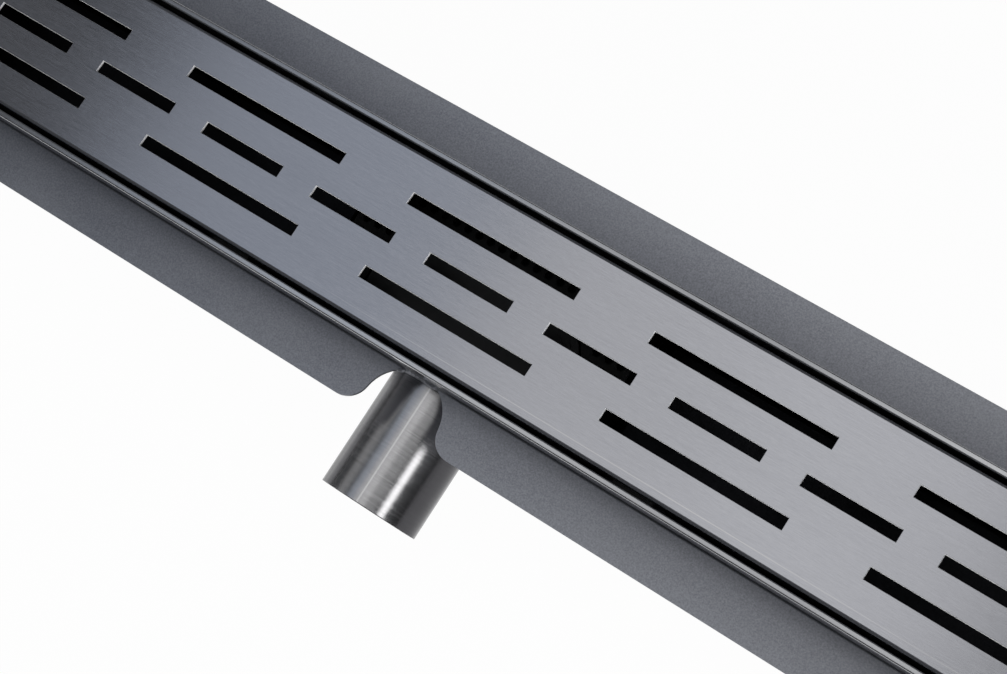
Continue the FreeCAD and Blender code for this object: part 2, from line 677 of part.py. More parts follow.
def make_strainer():
    """Perforated plate round the trap, with a turned-down rim and four legs."""
    edge_x = SUMP_INNER_X - STRAINER_END_GAP
    edge_y = RIM_INNER_Y - STRAINER_SIDE_GAP
    bottom = STRAINER_TOP_Z - STRAINER_SHEET
    plate = rounded_plate(2.0 * edge_x, 2.0 * edge_y, STRAINER_CORNER, bottom, STRAINER_TOP_Z)
    bay = cap_plate(-STRAINER_CAP_GAP, bottom - PAST, TOP)
    bay_x = CAP_LENGTH / 2.0 + STRAINER_CAP_GAP
    mouth = box(-bay_x, bay_x, -RIM_WIDTH, CAP_MIDDLE_Y, bottom - PAST, TOP)
    plate = plate.cut(bay).cut(mouth)
    land = HOLE_SIZE
    clear = cap_plate(-STRAINER_CAP_GAP - land, bottom - PAST, TOP)
    clear_x = bay_x + land
    clear = clear.fuse(box(-clear_x, clear_x, -RIM_WIDTH, CAP_MIDDLE_Y, bottom - PAST, TOP))
    plate = plate.cut(Part.makeCompound(strainer_holes(edge_x, edge_y, clear)))
    legs = []
    for x in (-edge_x, edge_x - LEG_SIZE):
        for y in (-edge_y + SUMP_FOLD_RADIUS, edge_y - SUMP_FOLD_RADIUS - LEG_SIZE):
            ring = box(x, x + LEG_SIZE, y, y + LEG_SIZE, SUMP_FLOOR_Z, bottom)
            hollow = box(
                x + STRAINER_SKIRT if x < 0 else x - PAST,
                x + LEG_SIZE + PAST if x < 0 else x + LEG_SIZE - STRAINER_SKIRT,
                y + STRAINER_SKIRT if y < 0 else y - PAST,
                y + LEG_SIZE + PAST if y < 0 else y + LEG_SIZE - STRAINER_SKIRT,
                SUMP_FLOOR_Z - PAST,
                bottom,
            )
            legs.append(ring.cut(hollow))
    return plate.fuse(legs).removeSplitter()


# ---------------------------------------------------------------- levelling feet
def make_bracket(x, side):
    """Angle bracket welded to the trough's wall, with a tab for the threaded rod."""
    top = FLANGE_Z - SHEET - BRACKET_FLANGE_GAP
    wall = WALL_OUTER_Y
    fold = BRACKET_SHEET
    outline = [
        (wall, top, 0.0),
        (wall, TAB_BOTTOM_Z, fold + BRACKET_SHEET),
        (wall + BRACKET_TAB_REACH, TAB_BOTTOM_Z, 0.0),
        (wall + BRACKET_TAB_REACH, TAB_TOP_Z, 0.0),
        (wall + BRACKET_SHEET, TAB_TOP_Z, fold),
        (wall + BRACKET_SHEET, top, 0.0),
    ]
    start = x - BRACKET_WIDTH / 2.0
    points = [Vector(start, side * u, z) for u, z, _ in outline]
    bracket = extruded(points, [row[2] for row in outline], Vector(BRACKET_WIDTH, 0, 0))
    hole_size = ROD_DIAMETER + 2.0 * BRACKET_HOLE_GAP
    low = TAB_BOTTOM_Z - PAST
    high = TAB_TOP_Z + PAST
    return bracket.cut(prism(x, side * FOOT_Y, low, high, hole_size, BORE_SIDES))


def make_rod(x, side):
    """Threaded rod of a foot, as a bar of the thread's outside diameter."""
    foot = Vector(x, side * FOOT_Y, ROD_BOTTOM_Z)
    return Part.makeCylinder(ROD_DIAMETER / 2.0, ROD_TOP_Z - ROD_BOTTOM_Z, foot)


def make_pad(x, side):
    """Moulded foot pad: a hexagon that can be turned by hand, with a blind hole."""
    y = side * FOOT_Y
    shoulder = PAD_RIM + (PAD_HEIGHT - PAD_RIM) / 2.0
    base = prism(x, y, 0.0, PAD_RIM, PAD_FLATS)
    taper = hexagon_taper(x, y, (PAD_RIM, PAD_FLATS), (shoulder, PAD_NECK_FLATS))
    neck = prism(x, y, shoulder, PAD_HEIGHT, PAD_NECK_FLATS)
    hole = prism(x, y, ROD_BOTTOM_Z, PAD_HEIGHT + PAST, ROD_DIAMETER + 2.0 * PUSH_FIT)
    return base.fuse([taper, neck]).removeSplitter().cut(hole)


def make_nut(x, side, z):
    """Hexagon nut, with a plain bore of the thread's outside size."""
    y = side * FOOT_Y
    nut = prism(x, y, z, z + NUT_HEIGHT, NUT_ACROSS_FLATS)
    bore_size = ROD_DIAMETER + 2.0 * NUT_GAP
    return nut.cut(prism(x, y, z - PAST, z + NUT_HEIGHT + PAST, bore_size, BORE_SIDES))


# ---------------------------------------------------------------- build
def export(name, shapes):
    """One STEP file for a node, from one solid or a list of separate ones."""
    if isinstance(shapes, list):
        shape = Part.makeCompound(shapes)
    else:
        shape = shapes
    for index, solid in enumerate(shape.Solids):
        if not solid.isValid():
            print("not valid:", name, index)
    shape.exportStep("parts/" + name + ".step")
    print(name, "solids", len(shape.Solids), "volume", round(shape.Volume, 1))


def main():
    """Build every piece and write it."""
    os.makedirs("parts", exist_ok=True)
    export("channel_body", make_channel_body())
    for end, side in ENDS:
        export("end_cap_" + end, make_end_cap(side))
        export("sump_end_" + end, make_sump_end(side))
    export("sump_box", make_sump_box())
    export("outlet_pipe", make_outlet_pipe())
    export("cover_grate", make_cover())
    buffers = []
    for end, end_side in ENDS:
        for number, position in enumerate((INNER_LEDGE_X, OUTER_LEDGE_X), start=1):
            for row, side in SIDES:
                x = end_side * position
                export("grate_ledge_%s_%s_%d" % (row, end, number), make_ledge(x, side))
                buffers.append(make_buffer(x, side))
    export("edge_buffers", buffers)
    export("trap_cap", make_trap_cap())
    export("cap_seal", make_cap_seal())
    export("trap_housing", make_trap_housing())
    export("trap_spigot", make_trap_spigot())
    export("outlet_seal", make_outlet_seal())
    export("strainer_plate", make_strainer())
    nuts = []
    for end, end_side in ENDS:
        for row, side in SIDES:
            x = end_side * FOOT_X
            place = row + "_" + end
            export("foot_bracket_" + place, make_bracket(x, side))
            export("foot_rod_" + place, make_rod(x, side))
            export("foot_pad_" + place, make_pad(x, side))
            nuts.append(make_nut(x, side, TAB_TOP_Z))
            nuts.append(make_nut(x, side, TAB_BOTTOM_Z - NUT_HEIGHT))
    export("lock_nuts", nuts)


main()
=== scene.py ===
# %% [markdown]
# # A linear shower channel in brushed stainless steel
# The drain is folded from sheet: a slotted cover lies in a hemmed rim, a flange for the tiles runs round
# it, and a short pipe leaves the sump at the side.  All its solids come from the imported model, in metres,
# with X along the channel, the outlet towards -Y and Z up.  This lesson gives those solids their finish
# and adds the forms that are surface work: the cover's eased edges, the pressed rim, weld beads, threads
# and nut chamfers.

# %% load the frame
import json
import math

import bmesh
import bpy
import numpy as np
from mathutils import Matrix, Vector


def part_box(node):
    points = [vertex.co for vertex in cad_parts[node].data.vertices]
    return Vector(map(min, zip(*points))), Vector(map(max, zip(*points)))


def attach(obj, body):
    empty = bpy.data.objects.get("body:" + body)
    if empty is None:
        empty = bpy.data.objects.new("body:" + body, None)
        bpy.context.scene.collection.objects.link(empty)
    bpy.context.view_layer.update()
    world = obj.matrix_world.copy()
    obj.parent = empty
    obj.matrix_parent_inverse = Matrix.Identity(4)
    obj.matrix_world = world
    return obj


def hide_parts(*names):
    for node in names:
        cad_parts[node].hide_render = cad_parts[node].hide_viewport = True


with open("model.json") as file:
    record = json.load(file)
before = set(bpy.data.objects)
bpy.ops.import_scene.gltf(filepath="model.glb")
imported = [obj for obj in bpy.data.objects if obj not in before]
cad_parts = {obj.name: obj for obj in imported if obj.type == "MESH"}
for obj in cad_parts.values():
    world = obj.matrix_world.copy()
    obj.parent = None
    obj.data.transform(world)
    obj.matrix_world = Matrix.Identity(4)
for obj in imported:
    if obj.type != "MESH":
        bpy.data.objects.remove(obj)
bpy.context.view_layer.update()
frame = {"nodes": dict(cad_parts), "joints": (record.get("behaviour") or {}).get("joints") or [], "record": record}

# %% [markdown]
# Places come from the nodes' own boxes and from the stated mount of the outlet, so that nothing here
# repeats a size that the solids already hold.

# %% places taken from the solids
cover_low, cover_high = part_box("cover_grate")
mounts = {mount["name"]: mount for mount in frame["record"]["mounts"]}
outlet = mounts["outlet_spigot"]
TOP_Z = cover_high.z
FLANGE_Z = mounts["flange_top"]["pos_m"][2]
FLANGE_EDGE_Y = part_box("channel_body")[1].y
PIPE_Z = outlet["pos_m"][2]
PIPE_RADIUS = outlet["dims"]["r_mm"] / 1000.0
WELD_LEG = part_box("outlet_pipe")[1].z - PIPE_Z - PIPE_RADIUS
WELD_START_Y = outlet["pos_m"][1] + outlet["dims"]["length_mm"] / 2000.0
SHEET = 0.0015                  # thickness of the folded sheet
RIM_GAP = 0.0020                # from the cover to the rim
RIM_THICKNESS = 0.0030          # two sheets, hemmed
print("cover top", round(TOP_Z, 4), "pipe axis", round(PIPE_Z, 4), "weld leg", round(WELD_LEG, 4))

# %% [markdown]
# ## Camera
# The view looks down on the cover from the right, about 20 degrees off the vertical, and is rolled so
# that the channel runs from the upper left to the lower right.  It is stated as a maker would: a point to
# look at on the cover, a direction to stand in, a distance, a roll and a lens.

# %% camera
LOOK_AT = Vector((0.0274787, -0.0127329, TOP_Z))
STAND_AZIMUTH = math.radians(69.445)      # from -Y towards +X
STAND_ELEVATION = math.radians(70.230)
STAND_DISTANCE = 0.844988
ROLL = math.radians(-37.53)
LENS = 69.98


def make_camera():
    """Camera on a sphere round LOOK_AT, then rolled about its own line of sight."""
    across = math.cos(STAND_ELEVATION)
    away = Vector((
        math.sin(STAND_AZIMUTH) * across,
        -math.cos(STAND_AZIMUTH) * across,
        math.sin(STAND_ELEVATION),
    ))
    data = bpy.data.cameras.new("camera")
    data.lens = LENS
    data.sensor_width = 36.0
    data.clip_start = 0.01
    camera = bpy.data.objects.new("camera", data)
    camera.location = LOOK_AT + away * STAND_DISTANCE
    upright = (-away).to_track_quat("-Z", "Y")
    camera.rotation_mode = "QUATERNION"
    camera.rotation_quaternion = upright @ Matrix.Rotation(ROLL, 3, "Z").to_quaternion()
    bpy.context.scene.collection.objects.link(camera)
    bpy.context.scene.camera = camera
    return camera


camera = make_camera()
print("camera at", tuple(round(v, 4) for v in camera.location))

# %% [markdown]
# ## Light
# Flat sheet metal is a mirror with a blur: it shows what hangs over it.  Seen from here, the right end of
# the cover mirrors the ceiling straight above and the left end mirrors the ceiling far out to the left.
# So soft lamps hang side by side over the channel, brightest above its middle, cooler and dimmer to the
# left, and past them there is only the grey room: the cover then runs from dark to light with no painted
# gradient.  A slanted lamp on the right draws the bright streak on the pipe, and a wide dim one far out
# lights the pipe's left side. The corner lamp is there for the rough cut walls of the slots.  Flat metal
# would show it as a white patch from behind, so it is left out of mirror images.

# %% lamps and world
WORLD_TINT = (0.92, 0.95, 1.0, 1.0)
WORLD_LEVEL = 0.075


def add_lamp(name, place, target, size, radiance, tint=(1.0, 1.0, 1.0)):
    """Rectangular soft lamp that faces target; its power is radiance * pi * area."""
    data = bpy.data.lights.new(name, "AREA")
    data.shape = "RECTANGLE"
    data.size = size[0]
    data.size_y = size[1]
    data.energy = radiance * math.pi * size[0] * size[1]
    data.color = tint
    lamp = bpy.data.objects.new(name, data)
    lamp.location = place
    heading = Vector(target) - Vector(place)
    lamp.rotation_euler = heading.to_track_quat("-Z", "Y").to_euler()
    bpy.context.scene.collection.objects.link(lamp)
    return lamp


def make_world():
    """Even grey surroundings."""
    world = bpy.data.worlds.new("studio")
    world.use_nodes = True
    backdrop = world.node_tree.nodes["Background"]
    backdrop.inputs["Color"].default_value = WORLD_TINT
    backdrop.inputs["Strength"].default_value = WORLD_LEVEL
    bpy.context.scene.world = world


make_world()
add_lamp("ceiling_middle", (-0.33, 0.2, 1.5), (-0.33, 0.2, 0.0), (0.36, 1.3), 0.66)
add_lamp("ceiling_bright", (0.03, 0.2, 1.5), (0.03, 0.2, 0.0), (0.36, 1.3), 0.76)
add_lamp("ceiling_right", (0.53, 0.2, 1.5), (0.53, 0.2, 0.0), (0.62, 1.3), 0.36)
add_lamp("ceiling_left", (-0.78, 0.2, 1.5), (-0.78, 0.2, 0.0), (0.52, 1.3), 0.45, (0.80, 0.87, 1.0))
add_lamp("slant_right", (1.5, -0.1, 1.42), (0.0, -0.05, 0.08), (1.4, 0.50), 2.3)
add_lamp("far_left", (-4.0, 0.4, 3.0), (0.0, 0.0, 0.05), (3.0, 1.8), 0.26)
corner_right = add_lamp("corner_right", (1.15, -1.65, 0.8), (0.0, 0.0, 0.08), (1.2, 0.9), 11.0)
corner_right.visible_glossy = False
bpy.context.scene.view_settings.view_transform = "Standard"

# %% [markdown]
# ## Small tools for node trees
# A pattern that several finishes share is a node group, built once.  Each group takes Object coordinates
# in and gives plain 0 to 1 factors out, so that each material decides what the pattern does to its own
# surface.


# %% helpers for nodes
def add_node(tree, kind, **inputs):
    """New node with its inputs set: a value for an unlinked socket, or a socket to link from."""
    node = tree.nodes.new(kind)
    for key, value in inputs.items():
        socket = node.inputs[int(key[1:])] if key[0] == "i" and key[1:].isdigit() else node.inputs[key]
        if isinstance(value, bpy.types.NodeSocket):
            tree.links.new(value, socket)
        else:
            socket.default_value = value
    return node


def math_node(tree, operation, first, second=0.0, clamp=False):
    """One sum, product, power or the like, as a socket."""
    node = add_node(tree, "ShaderNodeMath", i0=first, i1=second)
    node.operation = operation
    node.use_clamp = clamp
    return node.outputs[0]


def stretched(tree, vector, scale):
    """Coordinates scaled by a different number along each axis."""
    node = add_node(tree, "ShaderNodeMapping", Vector=vector)
    node.inputs["Scale"].default_value = scale
    return node.outputs[0]


def noise(tree, vector, scale, detail=2.0, roughness=0.5):
    """Grey noise, as a socket."""
    node = add_node(tree, "ShaderNodeTexNoise", Vector=vector, Scale=scale, Detail=detail)
    node.inputs["Roughness"].default_value = roughness
    return node.outputs[0]


def weighted(tree, *pairs):
    """Sum of values, each times its weight."""
    total = None
    for value, weight in pairs:
        part = math_node(tree, "MULTIPLY", value, weight)
        total = part if total is None else math_node(tree, "ADD", total, part)
    return total


def inverse(tree, value):
    """1 minus the value."""
    return math_node(tree, "SUBTRACT", 1.0, value)


def remap(tree, value, low, high, to_low=0.0, to_high=1.0, smooth=False):
    """Value taken from one range to another, held at both ends."""
    node = add_node(tree, "ShaderNodeMapRange", Value=value)
    node.interpolation_type = "SMOOTHSTEP" if smooth else "LINEAR"
    for key, number in (("From Min", low), ("From Max", high), ("To Min", to_low), ("To Max", to_high)):
        node.inputs[key].default_value = number
    return node.outputs[0]


def new_group(name, outputs):
    """Empty node group with one vector input and float outputs."""
    tree = bpy.data.node_groups.new(name, "ShaderNodeTree")
    tree.interface.new_socket("Vector", in_out="INPUT", socket_type="NodeSocketVector")
    for label in outputs:
        tree.interface.new_socket(label, in_out="OUTPUT", socket_type="NodeSocketFloat")
    entry = tree.nodes.new("NodeGroupInput").outputs[0]
    leave = tree.nodes.new("NodeGroupOutput")
    return tree, entry, leave


def use_group(tree, group, vector):
    """Places a group in a material."""
    node = tree.nodes.new("ShaderNodeGroup")
    node.node_tree = group
    tree.links.new(vector, node.inputs[0])
    return node.outputs


# %% [markdown]
# ## Patterns of the metal
# The cover is brushed along its length with a fine belt: short hair lines, from a few millimetres to a
# few centimetres long and a fifth of a millimetre wide, hardly darker than their neighbours.  Noise that
# is stretched along X gives them, in three widths.


# %% hair lines along the channel
def make_belt_lines():
    """Noise in three widths: fine scratches, hair lines and broad bands, all long in X."""
    tree, vector, leave = new_group("belt_lines", ("Fine", "Hair", "Bands"))
    fine = noise(tree, stretched(tree, vector, (230.0, 3200.0, 3200.0)), 1.0, 3.0, 0.7)
    hair = noise(tree, stretched(tree, vector, (36.0, 1500.0, 1500.0)), 1.0, 3.0, 0.65)
    bands = noise(tree, stretched(tree, vector, (5.0, 45.0, 45.0)), 1.0, 3.0, 0.55)
    tree.links.new(remap(tree, fine, 0.3, 0.7), leave.inputs["Fine"])
    tree.links.new(remap(tree, hair, 0.25, 0.75), leave.inputs["Hair"])
    tree.links.new(remap(tree, bands, 0.3, 0.7), leave.inputs["Bands"])
    return tree


belt_lines = make_belt_lines()
print("patterns", [group.name for group in bpy.data.node_groups])

# %% [markdown]
# The folded body is cold-rolled sheet that was left satin: a fine even speckle with slow clouds in it,
# where the blasting and the pickling bath took a little more or less.


# %% speckle and clouds of the satin sheet
def make_satin_sheet():
    """Even speckle of under a millimetre, and clouds of a few centimetres."""
    tree, vector, leave = new_group("satin_sheet", ("Speckle", "Clouds"))
    speckle = noise(tree, vector, 1250.0, 3.0, 0.75)
    clouds = noise(tree, stretched(tree, vector, (0.7, 1.3, 1.3)), 22.0, 4.0, 0.55)
    tree.links.new(remap(tree, speckle, 0.3, 0.7), leave.inputs["Speckle"])
    tree.links.new(remap(tree, clouds, 0.3, 0.7), leave.inputs["Clouds"])
    return tree


satin_sheet = make_satin_sheet()
print("patterns", [group.name for group in bpy.data.node_groups])

# %% [markdown]
# The pipe was turned against a belt, so its lines run round it.  Along Y the noise changes quickly, round
# the pipe it hardly changes.


# %% rings round the pipe
def make_turned_lines():
    """Noise that is fine along Y and slow across it."""
    tree, vector, leave = new_group("turned_lines", ("Fine", "Bands"))
    fine = noise(tree, stretched(tree, vector, (45.0, 2400.0, 45.0)), 1.0, 2.0, 0.75)
    bands = noise(tree, stretched(tree, vector, (25.0, 300.0, 25.0)), 1.0, 2.0, 0.5)
    tree.links.new(remap(tree, fine, 0.3, 0.7), leave.inputs["Fine"])
    tree.links.new(remap(tree, bands, 0.3, 0.7), leave.inputs["Bands"])
    return tree


turned_lines = make_turned_lines()
print("patterns", [group.name for group in bpy.data.node_groups])

# %% [markdown]
# ## Finishes
# Each material starts with the same three nodes: Object coordinates, a Principled shader and its output.
# All numbers that hold for the whole surface are set on the shader's own sockets.


# %% start of a material
def start_material(name, metallic, colour):
    """Material with a Principled shader; gives its tree, shader and Object coordinates."""
    material = bpy.data.materials.new(name)
    material.use_nodes = True
    material.diffuse_color = (*colour, 1.0)
    tree = material.node_tree
    tree.nodes.clear()
    shader = tree.nodes.new("ShaderNodeBsdfPrincipled")
    shader.inputs["Metallic"].default_value = metallic
    output = tree.nodes.new("ShaderNodeOutputMaterial")
    tree.links.new(shader.outputs[0], output.inputs[0])
    place = tree.nodes.new("ShaderNodeTexCoord").outputs["Object"]
    return material, tree, shader, place


def add_bump(tree, shader, height, strength, distance):
    """Relief on the shader's normal."""
    node = add_node(tree, "ShaderNodeBump", Strength=strength, Distance=distance, Height=height)
    tree.links.new(node.outputs[0], shader.inputs["Normal"])


# %% [markdown]
# One sheet is bright on its brushed face, dull behind and pale where it was cut.  The faces could each
# get a material of their own, but the solids are loose triangles, so a mask is simpler: a number between
# 0 and 1 that is found from the place on the piece and steps softly from one to the other.

# %% places inside a surface
def axis_of(tree, vector, axis):
    """One coordinate of a vector, as a socket."""
    node = tree.nodes.new("ShaderNodeSeparateXYZ")
    tree.links.new(vector, node.inputs[0])
    return node.outputs[axis]


def within(tree, value, limit, blur):
    """1 where the value lies nearer to zero than the limit, 0 beyond, with a soft step."""
    return remap(tree, math_node(tree, "ABSOLUTE", value), limit - blur, limit + blur, 1.0, 0.0, True)


def below(tree, value, level, blur):
    """1 under the level, 0 above, with a soft step."""
    return remap(tree, value, level - blur, level + blur, 1.0, 0.0, True)


def mix_colours(tree, factor, first, second, blend="MIX"):
    """Mix node of two colours, each a socket or three numbers."""
    node = tree.nodes.new("ShaderNodeMix")
    node.data_type = "RGBA"
    node.blend_type = blend
    tree.links.new(factor, node.inputs[0])
    for index, colour in ((6, first), (7, second)):
        if isinstance(colour, bpy.types.NodeSocket):
            tree.links.new(colour, node.inputs[index])
        else:
            node.inputs[index].default_value = (*colour, 1.0)
    return node.outputs[2]


def blended(tree, factor, first, second):
    """First colour where the factor is 0, second where it is 1."""
    return mix_colours(tree, factor, first, second)


def tinted(tree, colour, factor, tint):
    """Colour multiplied by a tint where the factor is 1."""
    return mix_colours(tree, factor, colour, tint, "MULTIPLY")


# %% [markdown]
# The cover's lines show twice: as a small change of tone and as a relief that spreads the mirror image
# across the channel.  The slots were cut by laser, which leaves pale rough walls.  A thin pale line along
# the near edge is a painted highlight of the fold, and the underside is painted dark as shade.

# %% brushed cover
FOLD_HIGHLIGHT_INSET = 0.0048         # painted highlight of the fold, this far in from the cover's near edge
FOLD_HIGHLIGHT_HALF = 0.00022
CUT_DEPTH = 0.00006             # the pale wall starts this far under the top
CUT_INSET = 0.0030              # and this far in from the cover's edge, clear of the folds
UNDERSIDE_SHADE_INSET = 0.0012            # painted shade starts on the inner face of the folded edges


def make_cover_steel():
    """Hair lines in tone, roughness and relief; pale rough slot walls; painted fold highlight, painted shade
    below.
    """
    material, tree, shader, place = start_material("brushed_cover_steel", 1.0, (0.5, 0.5, 0.53))
    along, across, height = (axis_of(tree, place, axis) for axis in range(3))
    fine, hair, bands = use_group(tree, belt_lines, place)[:3]
    mixed = weighted(tree, (fine, 0.5), (hair, 0.35), (bands, 0.15))
    tone = blended(tree, mixed, (0.415, 0.42, 0.45), (0.565, 0.57, 0.605))

    # Painted highlight: a thin pale line along the near fold, on the right half of the cover.
    from_fold_highlight = math_node(tree, "ADD", across, cover_high.y - FOLD_HIGHLIGHT_INSET)
    painted_fold_highlight = within(tree, from_fold_highlight, FOLD_HIGHLIGHT_HALF, 0.00016)
    painted_fold_highlight = math_node(tree, "MULTIPLY", painted_fold_highlight, remap(tree, bands, 0.2, 0.8, 0.15, 0.5))
    painted_fold_highlight = math_node(tree, "MULTIPLY", painted_fold_highlight, remap(tree, along, -0.10, 0.02, smooth=True))
    tone = blended(tree, painted_fold_highlight, tone, (0.80, 0.79, 0.77))

    # Painted shade: the underside and the inner faces of the folded edges are darkened.
    inside = within(tree, across, cover_high.y - UNDERSIDE_SHADE_INSET, 0.0002)
    under = math_node(tree, "MULTIPLY", below(tree, height, TOP_Z - SHEET + 0.00004, 0.00002), inside)
    cut = within(tree, across, cover_high.y - CUT_INSET, 0.0002)
    cut = math_node(tree, "MULTIPLY", cut, below(tree, height, TOP_Z - CUT_DEPTH, 0.00003))
    cut = math_node(tree, "SUBTRACT", cut, under, clamp=True)
    tone = blended(tree, cut, tone, (0.92, 0.92, 0.93))
    tone = tinted(tree, tone, under, (0.16, 0.16, 0.165))

    rough = math_node(tree, "ADD", remap(tree, mixed, 0.0, 1.0, 0.15, 0.23), weighted(tree, (cut, 0.38)))
    tree.links.new(tone, shader.inputs["Base Color"])
    tree.links.new(rough, shader.inputs["Roughness"])
    tree.links.new(inverse(tree, weighted(tree, (cut, 0.75))), shader.inputs["Metallic"])
    add_bump(tree, shader, mixed, 0.20, 0.00002)
    return material


# %% [markdown]
# The body is satin all over, but the rim was brushed bright after the hem was closed, and fine roll marks
# run along it.  The flange is painted darker towards the rim and underneath, as shade, and the trough
# inside the rim is painted dark as shade.

# %% satin body
RIM_BRUSHED = 0.0150            # height of the brushed part of the rim
TROUGH_INSET = 0.0007           # the painted trough shade starts this far inside the rim


def make_body_steel():
    """Speckle and clouds in tone, relief and roughness; the rim brushed bright; painted shade by the rim, below,
    inside.
    """
    material, tree, shader, place = start_material("satin_sheet_steel", 1.0, (0.4, 0.4, 0.42))
    along, across, height = (axis_of(tree, place, axis) for axis in range(3))
    speckle, clouds = use_group(tree, satin_sheet, place)[:2]
    mixed = weighted(tree, (speckle, 0.65), (clouds, 0.35))
    tone = blended(tree, mixed, (0.245, 0.252, 0.280), (0.53, 0.542, 0.585))

    # Painted shade: the flange darkens towards the rim, by distance across the channel.
    outward = math_node(tree, "ABSOLUTE", across)
    shade = remap(tree, outward, cover_high.y + 0.006, FLANGE_EDGE_Y - 0.003, 1.0, 0.0)
    tone = tinted(tree, tone, shade, (0.66, 0.66, 0.665))
    # Painted shade: the flange's underside is darkened.
    painted_underside_shade = within(tree, math_node(tree, "SUBTRACT", height, FLANGE_Z - SHEET), 0.0004, 0.0002)
    tone = tinted(tree, tone, painted_underside_shade, (0.30, 0.30, 0.31))

    # Painted shade: the trough inside the rim, below its top, is darkened.
    painted_trough_shade = math_node(
        tree, "MULTIPLY",
        within(tree, across, cover_high.y + RIM_GAP + TROUGH_INSET, 0.0002),
        within(tree, along, cover_high.x + RIM_GAP + TROUGH_INSET, 0.0002),
    )
    painted_trough_shade = math_node(tree, "MULTIPLY", below(tree, height, TOP_Z - 0.006, 0.004), painted_trough_shade)
    tone = tinted(tree, tone, painted_trough_shade, (0.10, 0.10, 0.105))

    rim = inverse(tree, below(tree, height, TOP_Z - RIM_BRUSHED, 0.0008))
    roll = remap(tree, noise(tree, stretched(tree, place, (2.0, 2.0, 330.0)), 1.0, 1.0), 0.35, 0.65)
    rim_tone = blended(tree, roll, (0.36, 0.365, 0.385), (0.86, 0.865, 0.88))
    rough = remap(tree, clouds, 0.0, 1.0, 0.40, 0.50)
    rough = math_node(tree, "SUBTRACT", rough, weighted(tree, (rim, 0.22)))
    tree.links.new(blended(tree, rim, tone, rim_tone), shader.inputs["Base Color"])
    tree.links.new(rough, shader.inputs["Roughness"])
    add_bump(tree, shader, math_node(tree, "MULTIPLY", speckle, inverse(tree, rim)), 0.50, 0.00005)
    return material


# %% [markdown]
# The pipe shows its rings in the same three ways, and a bright line where the tube was drawn over its
# seam.  Its lower half and its left flank are painted darker as shade.

# %% turned pipe
LOW_START = 0.66                # heights and distances from the axis, in pipe radii
FLANK_START = -0.53
SEAM_PLACE = 0.08


def make_pipe_steel():
    """Rings in tone, roughness and relief, a bright drawn seam along the top, painted shade low and on the left.
    """
    material, tree, shader, place = start_material("turned_pipe_steel", 1.0, (0.45, 0.44, 0.45))
    sideways, height = axis_of(tree, place, 0), axis_of(tree, place, 2)
    fine, bands = use_group(tree, turned_lines, place)[:2]
    mixed = weighted(tree, (fine, 0.85), (bands, 0.15))
    tone = blended(tree, mixed, (0.42, 0.415, 0.42), (0.60, 0.595, 0.605))

    # Painted shade: the lower half of the pipe is darkened, which also dims what it mirrors there.
    low = below(tree, height, PIPE_Z + LOW_START * PIPE_RADIUS, 0.0022)
    tone = tinted(tree, tone, low, (0.15, 0.15, 0.158))
    # Painted shade: the left flank of the pipe is darkened too.
    painted_flank_shade = below(tree, sideways, FLANK_START * PIPE_RADIUS, 0.0012)
    painted_flank_shade = math_node(tree, "MULTIPLY", painted_flank_shade, inverse(tree, low))
    tone = tinted(tree, tone, painted_flank_shade, (0.24, 0.24, 0.25))
    seam = within(tree, math_node(tree, "SUBTRACT", sideways, SEAM_PLACE * PIPE_RADIUS), 0.0004, 0.0003)
    seam = math_node(tree, "MULTIPLY", seam, inverse(tree, low))
    tone = blended(tree, weighted(tree, (seam, 0.6)), tone, (0.80, 0.80, 0.80))

    tree.links.new(tone, shader.inputs["Base Color"])
    tree.links.new(remap(tree, mixed, 0.0, 1.0, 0.16, 0.26), shader.inputs["Roughness"])
    add_bump(tree, shader, fine, 0.70, 0.00003)
    return material


# %% [markdown]
# Rods and nuts are zinc plated: a pale metal with slow clouds, for which the sheet's pattern serves
# again.

# %% zinc of rods and nuts
def make_zinc_steel():
    """Bright zinc: pale clouds with a fine grain."""
    material, tree, shader, place = start_material("bright_zinc", 1.0, (0.62, 0.63, 0.64))
    speckle, clouds = use_group(tree, satin_sheet, place)[:2]
    mixed = weighted(tree, (speckle, 0.3), (clouds, 0.7))
    tone = blended(tree, mixed, (0.50, 0.52, 0.54), (0.72, 0.73, 0.74))
    tree.links.new(tone, shader.inputs["Base Color"])
    tree.links.new(remap(tree, clouds, 0.0, 1.0, 0.22, 0.38), shader.inputs["Roughness"])
    add_bump(tree, shader, speckle, 0.2, 0.00005)
    return material


# %% [markdown]
# The trap, the strainer, the pads and the seals are moulded.  A mould is spark-eroded, which leaves a
# fine grain, and the gloss changes slowly over a moulding, as it cooled unevenly.

# %% moulded plastics and rubber
def make_moulded(name, dark, light, rough_low, rough_high, relief):
    """Moulded surface: spark-eroded grain in relief, slow clouds in tone and gloss."""
    material, tree, shader, place = start_material(name, 0.0, light)
    speckle, clouds = use_group(tree, satin_sheet, place)[:2]
    tree.links.new(blended(tree, clouds, dark, light), shader.inputs["Base Color"])
    tree.links.new(remap(tree, clouds, 0.0, 1.0, rough_low, rough_high), shader.inputs["Roughness"])
    add_bump(tree, shader, speckle, 0.3, relief)
    return material


